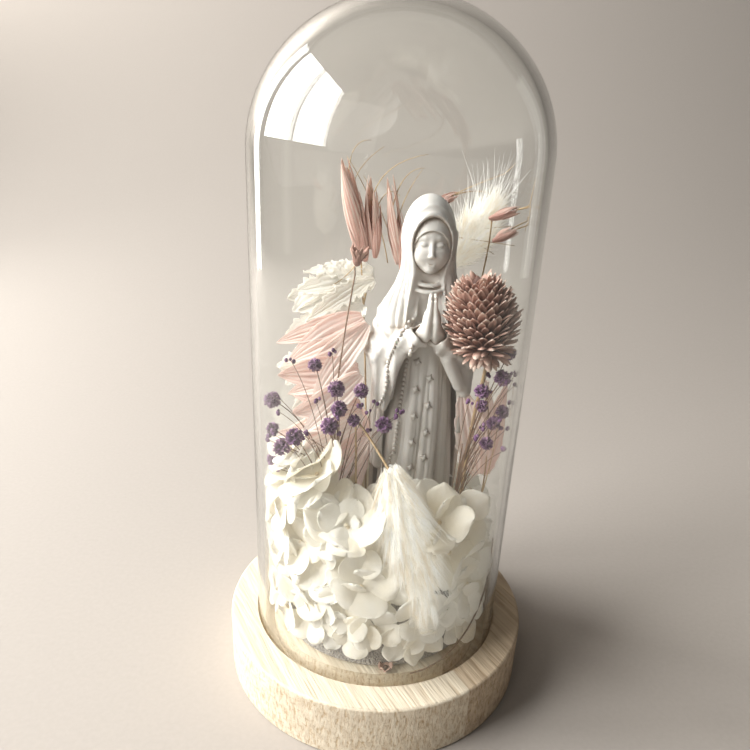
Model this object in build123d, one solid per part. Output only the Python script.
from build123d import *
import math
import os

# A bell jar: a glass dome that stands in the groove of a turned wooden base and covers a
# praying figurine in a bed of dried flowers.
# Units are millimetres. The origin is the centre of the base's underside, +Z is up, and -Y is
# the front. Flowers and leaves are plain closed solids of the right size and place.

# ---- Wooden base: two boards glued edge to edge, then turned ----
BASE_RADIUS = 60.0
BASE_HEIGHT = 23.0
BASE_EDGE_ROUND = 1.0
GROOVE_INNER_RADIUS = 42.6
GROOVE_OUTER_RADIUS = 49.5
GROOVE_DEPTH = 7.0
GLUE_LINE_OFFSET = 4.75  # distance from the centre to the glue line
GLUE_LINE_NORMAL = 30.0  # degrees from +X to the direction across the glue line

# ---- Glass dome ----
GLASS_RADIUS = 49.0
GLASS_WALL = 2.5
GLASS_TOP = 242.0
CAP_FLATTENING = 0.937  # height of the cap over its radius

# ---- Foam and its glue ----
GLUE_RADIUS = 25.0
GLUE_THICKNESS = 1.0
FOAM_RADIUS = 39.5
FOAM_HEIGHT = 22.0
FOAM_EDGE_ROUND = 3.0

# ---- Figurine ----
FIGURINE_X = 12.0
FIGURINE_FOOT = 3.0  # how deep its foot is pressed into the foam
HAND_RADIUS = 4.2
SLEEVE_RADIUS = 4.5

# ---- Flowers ----
DISPLAY_RADIUS = 44.0  # everything stays inside this, clear of the glass
STEM_RADIUS = 0.6
TWIG_RADIUS = 0.4
TENDRIL_RADIUS = 0.25
TENDRIL_ORBIT = 45.3  # between the flowers and the glass
TENDRIL_START = -15.0  # degrees from +X
TENDRIL_END = -74.0
TENDRIL_TOP = 62.0
TENDRIL_FOOT = 25.0
TENDRIL_STEPS = 7
LEAF_THICKNESS = 0.8
TOUCH = 0.02  # gap between pieces that only touch
ROOM = 0.5  # gap left round whatever passes through a hydrangea head
BLOSSOM_RADIUS = 2.6

# ---- Heights worked out from the sizes above ----
GLASS_FOOT = BASE_HEIGHT - GROOVE_DEPTH
FOAM_FLOOR = BASE_HEIGHT + GLUE_THICKNESS
FOAM_TOP = FOAM_FLOOR + FOAM_HEIGHT
ROOT_DEPTH = 12.0  # how deep a stem is pushed into the foam
ROOT = FOAM_TOP - ROOT_DEPTH
ROOT_BORE_RADIUS = 1.8

# Each hydrangea head fills one quarter of a ring; the stems rise in the space inside the ring.
# name: (middle of the quarter in degrees from +X, inner radius, height of its top)
HYDRANGEA_HEADS = {
    "hydrangea_right": (0.0, 33.0, 80.0),
    "hydrangea_back": (90.0, 27.0, 92.0),
    "hydrangea_left": (180.0, 27.0, 90.0),
    "hydrangea_front": (270.0, 27.0, 86.0),
}
HEAD_SPREAD = 88.0  # degrees round the ring that one head fills
HEAD_UNDERSIDE = 27.0

FORK_SHARE = 0.3  # the upper part of a sprig's stem that sends out twigs
LEFT_SPRIG_TOP = (-18, -17, 106)
LEFT_BLOSSOMS = [
    (-40, -14, 116), (-24, -24, 133), (-17, -24, 125), (-16, -24, 118), (-11, -24, 114),
    (-1, -24, 113), (-19, -25, 112), (-40, -14, 105), (-31, -22, 106), (-36, -18, 100),
    (-41, -11, 91.5), (-9, -22, 124),
]
RIGHT_SPRIG_TOP = (27, -17, 104)
RIGHT_BLOSSOMS = [
    (42, -8, 135), (30, -25, 127), (32, -18, 119), (42, -8, 113), (37, -16, 112),
    (34, -22, 107), (38, -17, 129),
]


def vector(point):
    return Vector(*point)


def stem(points, radius=STEM_RADIUS):
    """A round stem that leaves its first point, is drawn towards the others and ends at the last."""
    path = Bezier(*points)
    start = Plane(origin=path @ 0, z_dir=path % 0)
    return sweep(start * Circle(radius), path=path)


def spindle(base, tip, radius, belly=0.45):
    """A seed head or bud that swells between two points and is fullest at belly."""
    axis = vector(tip) - vector(base)
    side = Spline(
        (0, 0), (radius, belly * axis.length), (0, axis.length), tangents=[(1, 0.3), (-1, 0.3)]
    )
    half = make_face([side, Line((0, axis.length), (0, 0))])
    solid = revolve(Plane.XZ * half, axis=Axis.Z)
    return Plane(origin=base, z_dir=axis) * solid


def leaf(base, tip, width, facing):
    """A flat pointed leaf from base to tip whose flat side looks roughly along facing."""
    axis = vector(tip) - vector(base)
    across = axis.cross(vector(facing))
    plane = Plane(origin=base, x_dir=axis, z_dir=across.cross(axis))
    middle = axis.length / 2
    upper = ThreePointArc((0, 0), (middle, width / 2), (axis.length, 0))
    lower = ThreePointArc((axis.length, 0), (middle, -width / 2), (0, 0))
    return extrude(plane * make_face([upper, lower]), amount=LEAF_THICKNESS / 2, both=True)


def blossoms(centres):
    """Small round blossoms as one group of separate solids."""
    return Compound(children=[Pos(*centre) * Sphere(BLOSSOM_RADIUS) for centre in centres])


def sprig(root, top, centres):
    """A stem whose upper part sends out one arching twig to each blossom's skin."""
    trunk = stem([root, top])
    twigs = []
    for place, centre in enumerate(centres):
        height = 1 - FORK_SHARE * (1 - place / (len(centres) - 1))
        fork = vector(root) + (vector(top) - vector(root)) * height
        way = vector(centre) - fork
        arch = fork + way * 0.5 + Vector(0, 0, 0.08 * way.length)
        twigs.append(stem([tuple(fork), tuple(arch), centre], TWIG_RADIUS))
    skins = [Pos(*centre) * Sphere(BLOSSOM_RADIUS + TOUCH) for centre in centres]
    return trunk + twigs - skins


def turned_base():
    """The whole turned disc with its groove, before it is parted at the glue line."""
    outline = Polyline(
        (0, 0),
        (BASE_RADIUS, 0),
        (BASE_RADIUS, BASE_HEIGHT),
        (GROOVE_OUTER_RADIUS, BASE_HEIGHT),
        (GROOVE_OUTER_RADIUS, GLASS_FOOT),
        (GROOVE_INNER_RADIUS, GLASS_FOOT),
        (GROOVE_INNER_RADIUS, BASE_HEIGHT),
        (0, BASE_HEIGHT),
        close=True,
    )
    disc = revolve(Plane.XZ * make_face(outline), axis=Axis.Z)
    rims = disc.edges().filter_by(GeomType.CIRCLE)
    outer = rims.filter_by(lambda edge: abs(edge.radius - BASE_RADIUS) < 0.01)
    return fillet(outer, BASE_EDGE_ROUND)


def base_boards():
    """The two boards of the base, left and right of the glue line."""
    angle = math.radians(GLUE_LINE_NORMAL)
    across = Vector(math.cos(angle), math.sin(angle), 0)
    glue_line = Plane(origin=across * GLUE_LINE_OFFSET, z_dir=across)
    disc = turned_base()
    left = split(disc, bisect_by=glue_line, keep=Keep.BOTTOM)
    right = split(disc, bisect_by=glue_line, keep=Keep.TOP)
    return left, right


def quarter_dome(radius, height, shoulder):
    """The outline of a slightly flattened dome, from its shoulder up to the axis."""
    bulge = 0.5523  # makes a cubic curve follow a quarter ellipse
    return Bezier(
        (radius, shoulder),
        (radius, shoulder + bulge * height),
        (bulge * radius, shoulder + height),
        (0, shoulder + height),
    )


def glass_dome():
    """A blown glass cylinder with a domed top and a fire-polished, fully rounded open end."""
    cap_height = GLASS_RADIUS * CAP_FLATTENING
    shoulder = GLASS_TOP - cap_height
    inner_radius = GLASS_RADIUS - GLASS_WALL
    rim = GLASS_FOOT + GLASS_WALL / 2
    outer_cap = quarter_dome(GLASS_RADIUS, cap_height, shoulder)
    inner_cap = quarter_dome(inner_radius, cap_height - GLASS_WALL, shoulder)
    profile = make_face([
        Line((GLASS_RADIUS, rim), (GLASS_RADIUS, shoulder)),
        outer_cap,
        Line(outer_cap @ 1, inner_cap @ 1),
        inner_cap,
        Line((inner_radius, shoulder), (inner_radius, rim)),
        ThreePointArc((inner_radius, rim), (GLASS_RADIUS - GLASS_WALL / 2, GLASS_FOOT), (GLASS_RADIUS, rim)),
    ])
    return revolve(Plane.XZ * profile, axis=Axis.Z)


def floral_foam():
    """The puck of dry foam, before anything is pushed into it."""
    middle = FOAM_FLOOR + FOAM_HEIGHT / 2
    puck = Pos(0, 0, middle) * Cylinder(FOAM_RADIUS, FOAM_HEIGHT)
    top_edge = puck.edges().group_by(Axis.Z)[-1]
    return fillet(top_edge, FOAM_EDGE_ROUND)


def limb(start, end, radius):
    """A straight round sleeve or hand between two points."""
    axis = vector(end) - vector(start)
    rod = Cylinder(radius, axis.length, align=(Align.CENTER, Align.CENTER, Align.MIN))
    return Plane(origin=start, z_dir=axis) * rod


def figurine():
    """A robed, veiled figure with its hands together."""
    foot = FOAM_TOP - FIGURINE_FOOT
    # height, centre x and y, half width, half depth
    levels = [
        (foot, 0, 0, 15, 13),
        (86, 0.5, 0, 15, 12.5),
        (106, -0.5, 0, 17, 12.5),
        (127, -1, -0.5, 19, 12.5),
        (141, -1, -0.5, 17.5, 12),
        (151, -1, 0.5, 14, 10.5),
        (160, -0.5, 0, 10, 9.5),
        (172, -0.5, -1, 9.6, 9.4),
        (181, -1, -0.5, 8, 7.6),
        (186, -1.5, 0, 3.6, 3.2),
    ]
    rings = [
        Plane(origin=(FIGURINE_X + x, y, z)) * Ellipse(half_width, half_depth)
        for z, x, y, half_width, half_depth in levels
    ]
    figure = loft(rings, ruled=True)
    figure += limb((FIGURINE_X, -11, 135), (FIGURINE_X, -20, 156), HAND_RADIUS)
    for elbow_x in (-16, 15):
        elbow = (FIGURINE_X + elbow_x, -5, 131)
        wrist = (FIGURINE_X + elbow_x * 0.15, -17, 142)
        figure += limb(elbow, wrist, SLEEVE_RADIUS)
    return figure


def hydrangea_head(direction, inner, top):
    """One quarter of the flower bed: it overhangs the foam and rises round the figurine."""
    under = FOAM_RADIUS + ROOM
    shoulder = (DISPLAY_RADIUS, FOAM_TOP + 0.5 * (top - FOAM_TOP))
    ledge = (inner, FOAM_TOP + 0.8 * (top - FOAM_TOP))
    belly = Polyline((under, HEAD_UNDERSIDE), (DISPLAY_RADIUS, HEAD_UNDERSIDE + 6), shoulder)
    middle = 0.5 * (inner + DISPLAY_RADIUS)
    crown = Spline(shoulder, (middle, top), ledge, tangents=[(0, 1), (-1, -1)])
    inside = Polyline(ledge, (inner, FOAM_TOP + ROOM), (under, FOAM_TOP + ROOM), (under, HEAD_UNDERSIDE))
    profile = make_face([*belly.edges(), crown, *inside.edges()])
    quarter = revolve(Plane.XZ * profile, axis=Axis.Z, revolution_arc=HEAD_SPREAD)
    return Rot(0, 0, direction - HEAD_SPREAD / 2) * quarter


# ---- Heads: from where the stem enters to the tip, and the greatest radius ----
HEADS = {
    "bunny_tail_front": ((1.5, -29, 101), (17, -34, 46), 7.5),
    "bunny_tail_back": ((21, 15, 161), (36, 13, 184), 7.0),
    "globe_amaranth": ((32, -17.5, 134), (26, -17.5, 163), 9.6),
    "dried_bud": ((-12.5, -6, 162), (-11.5, -6, 169), 2.6),
}
OAT_SPIKELETS_LEFT = [
    ((-12, 15, 163.5), (-20, 15, 199), 2.6),
    ((-8, 15, 165), (-9, 16, 191), 2.2),
    ((2, 16, 160), (-3, 17, 190), 1.8),
]
OAT_SPIKELETS_RIGHT = [
    ((33, 3, 179.5), (42.5, 4, 182), 1.8),
    ((34, -1, 173), (42, 2, 176), 1.8),
    ((15, 22, 182), (23, 24, 185), 1.6),
]

# ---- Stems: each runs from its root in the foam to the foot of its head ----
STEMS = {
    "bunny_tail_front": [(-9, -20, ROOT), (-9, -21, 96), (-5, -25, 106)],
    "bunny_tail_back": [(16, 18, ROOT), (16, 18, 110), (17, 16, 150)],
    "globe_amaranth": [(29.5, -8, ROOT), (30, -8, 95), (31, -8, 120)],
    "dried_bud": [(-22, -10, ROOT), (-21, -15, 118), (-14, -9, 150)],
}
OAT_STEM_LEFT = [(-6, 19, ROOT), (-7, 18, 110), (-12, 15, 163)]
OAT_STEM_RIGHT = [(22, 18, ROOT), (24, 22, 110), (36, 12, 160), (32.5, 3, 179)]
BLEACHED_LEAF_STEM = [(-15, 19, ROOT), (-16, 20, 100), (-14, 20, 128), (-8, 21.5, 157)]
LEFT_ROOT = (-17, -15, ROOT)
RIGHT_ROOT = (23, -18, ROOT)
STEM_APPROACH = 4.0  # straight end of a stem, in line with its head

# ---- Leaves: base, tip, width, and the way the flat side looks ----
LEAVES = {
    "bleached_leaf_upper": ((-9, 21, 157), (-40, 12, 139), 17, (0, -1, 0.4)),
    "bleached_leaf_lower": ((-10, 13, 144), (-37, 6, 123), 14, (0, -1, 0.4)),
    "bleached_leaf_side": ((-24, 14, 124), (-41, 6, 118), 13, (0, -1, 0.3)),
    "pink_leaf_upper": ((-9, 2, 141), (-34, -4, 122), 12, (0, -1, 0.4)),
    "pink_leaf_middle": ((-10, -5, 124), (-37, -10, 111), 12, (0, -1, 0.4)),
    "pink_leaf_lower": ((-9, -6, 111), (-34, -7, 104), 11, (0, -1, 0.4)),
    "pink_leaf_right": ((37.5, 2, 84), (35.5, -1, 122), 14, (0.3, -1, 0)),
}


def head_stem(name):
    """The stem of a single head, which arrives along the head's own axis."""
    base, tip, _ = HEADS[name]
    axis = vector(tip) - vector(base)
    approach = vector(base) - axis.normalized() * STEM_APPROACH
    return stem([*STEMS[name], tuple(approach), base])


def stems():
    """Every stem and forked sprig by name."""
    made = {name + "_stem": head_stem(name) for name in STEMS}
    made["oat_stem_left"] = stem(OAT_STEM_LEFT)
    made["oat_stem_right"] = stem(OAT_STEM_RIGHT)
    made["bleached_leaf_stem"] = stem(BLEACHED_LEAF_STEM)
    made["purple_sprig_left"] = sprig(LEFT_ROOT, LEFT_SPRIG_TOP, LEFT_BLOSSOMS)
    made["purple_sprig_right"] = sprig(RIGHT_ROOT, RIGHT_SPRIG_TOP, RIGHT_BLOSSOMS)
    return made


def stem_roots():
    """A short straight bore in the foam for the root of every stem."""
    roots = [points[0] for points in STEMS.values()]
    roots += [OAT_STEM_LEFT[0], OAT_STEM_RIGHT[0], BLEACHED_LEAF_STEM[0], LEFT_ROOT, RIGHT_ROOT]
    bore = Cylinder(ROOT_BORE_RADIUS, 2 * (ROOT_DEPTH + ROOM))
    return [Pos(x, y, FOAM_TOP) * bore for x, y, _ in roots]


def spikelets(ends):
    """Oat spikelets as one group of separate solids."""
    return Compound(children=[spindle(*shape) for shape in ends])


def dry_tendril():
    """A thread-like tendril that curls down round the front right, just inside the glass."""
    points = []
    for step in range(TENDRIL_STEPS + 1):
        share = step / TENDRIL_STEPS
        angle = math.radians(TENDRIL_START + (TENDRIL_END - TENDRIL_START) * share)
        height = TENDRIL_FOOT + (TENDRIL_TOP - TENDRIL_FOOT) * (1 - share) ** 2
        points.append((TENDRIL_ORBIT * math.cos(angle), TENDRIL_ORBIT * math.sin(angle), height))
    path = Spline(*points)
    start = Plane(origin=path @ 0, z_dir=path % 0)
    return sweep(start * Circle(TENDRIL_RADIUS), path=path)


def loose_seed_petal():
    """A fallen petal that lies flat on the wood in front of the foam."""
    thickness = 1.2
    return Pos(4, -41, BASE_HEIGHT + thickness / 2) * Cylinder(1.5, thickness)


def build():
    """Every node by name."""
    nodes = stems()
    nodes["base_board_left"], nodes["base_board_right"] = base_boards()
    nodes["glass_dome"] = glass_dome()
    pad = Cylinder(GLUE_RADIUS, GLUE_THICKNESS)
    nodes["glue_pad"] = Pos(0, 0, BASE_HEIGHT + GLUE_THICKNESS / 2) * pad
    nodes["figurine"] = figurine()
    nodes["floral_foam"] = floral_foam() - [figurine(), *stem_roots()]
    for name, shape in HEADS.items():
        nodes[name] = spindle(*shape)
    nodes["oat_spikelets_left"] = spikelets(OAT_SPIKELETS_LEFT)
    nodes["oat_spikelets_right"] = spikelets(OAT_SPIKELETS_RIGHT)
    nodes["purple_blossoms_left"] = blossoms(LEFT_BLOSSOMS)
    nodes["purple_blossoms_right"] = blossoms(RIGHT_BLOSSOMS)
    for name, shape in LEAVES.items():
        nodes[name] = leaf(*shape)
    nodes["dry_tendril"] = dry_tendril()
    nodes["loose_seed_petal"] = loose_seed_petal()
    for name, shape in HYDRANGEA_HEADS.items():
        nodes[name] = hydrangea_head(*shape)
    base, tip, radius = HEADS["bunny_tail_front"]
    nodes["hydrangea_front"] -= spindle(base, tip, radius + ROOM)
    return nodes


if __name__ == "__main__":
    os.makedirs("parts", exist_ok=True)
    for name, shape in build().items():
        export_step(shape, f"parts/{name}.step")
